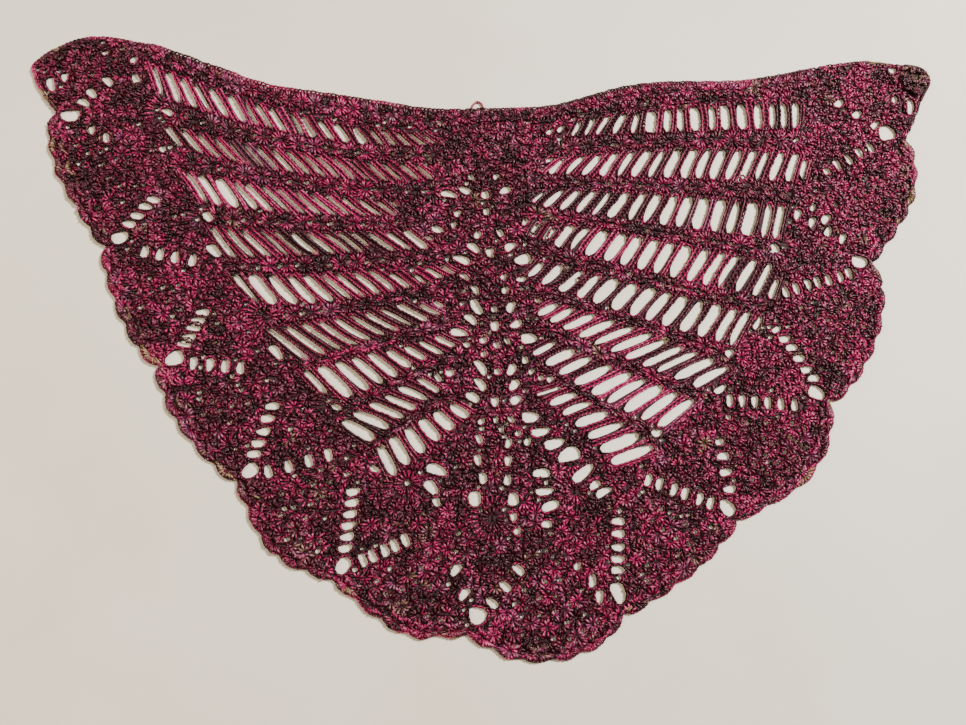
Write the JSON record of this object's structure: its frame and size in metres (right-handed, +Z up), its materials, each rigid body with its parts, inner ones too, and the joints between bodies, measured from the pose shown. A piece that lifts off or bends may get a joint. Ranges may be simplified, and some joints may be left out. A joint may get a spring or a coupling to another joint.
{
  "type": "crocheted lace shawl, laid flat",
  "caption": "Crescent-like triangular lace shawl in space-dyed yarn, lying flat, with open rows, a spine and a scalloped fan border; worn round the shoulders.",
  "frame": {"origin": "on the surface that the shawl lies on, under the middle of its bounding box", "axes": "+Z up out of the face of the lace, +X along the neck edge from the left tip to the right tip, +Y from the point of the shawl to its neck edge"},
  "size_m": [1.0926, 0.7116, 0.0083],
  "materials": {
    "lace_wing_left": "soft worsted yarn, space dyed in crimson, dark maroon, mauve and tan, with a slight silky sheen",
    "lace_wing_right": "soft worsted yarn, space dyed in crimson, dark maroon, mauve and tan, with a slight silky sheen",
    "lace_spine": "soft worsted yarn, space dyed in crimson, dark maroon, mauve and tan, with a slight silky sheen",
    "neck_band": "soft worsted yarn, space dyed in crimson, dark maroon, mauve and tan, with a slight silky sheen",
    "tip": "soft worsted yarn, space dyed in crimson, dark maroon, mauve and tan, with a slight silky sheen",
    "yarn_end": "soft worsted yarn, space dyed in crimson, dark maroon, mauve and tan, with a slight silky sheen",
    "border_wedge": "soft worsted yarn, space dyed in crimson, dark maroon, mauve and tan, with a slight silky sheen",
    "border_fan": "soft worsted yarn, space dyed in crimson, dark maroon, mauve and tan, with a slight silky sheen"
  },
  "bodies": {
    "root": {"wing_left": "lace_wing_left", "wing_right": "lace_wing_right", "spine": "lace_spine", "neck_band_left": "neck_band", "neck_band_left_end": "neck_band", "neck_band_right": "neck_band", "tip_left": "tip", "tip_right": "tip", "yarn_end": "yarn_end", "wedge_1": "border_wedge", "wedge_2": "border_wedge", "wedge_3": "border_wedge", "wedge_4": "border_wedge", "wedge_5": "border_wedge", "wedge_6": "border_wedge", "wedge_7": "border_wedge", "wedge_8": "border_wedge", "wedge_9": "border_wedge", "wedge_10": "border_wedge", "wedge_11": "border_wedge", "fan_1": "border_fan", "fan_2": "border_fan", "fan_3": "border_fan", "fan_4": "border_fan", "fan_5": "border_fan", "fan_6": "border_fan", "fan_7": "border_fan", "fan_8": "border_fan", "fan_9": "border_fan", "fan_10": "border_fan"}
  },
  "joints": []
}
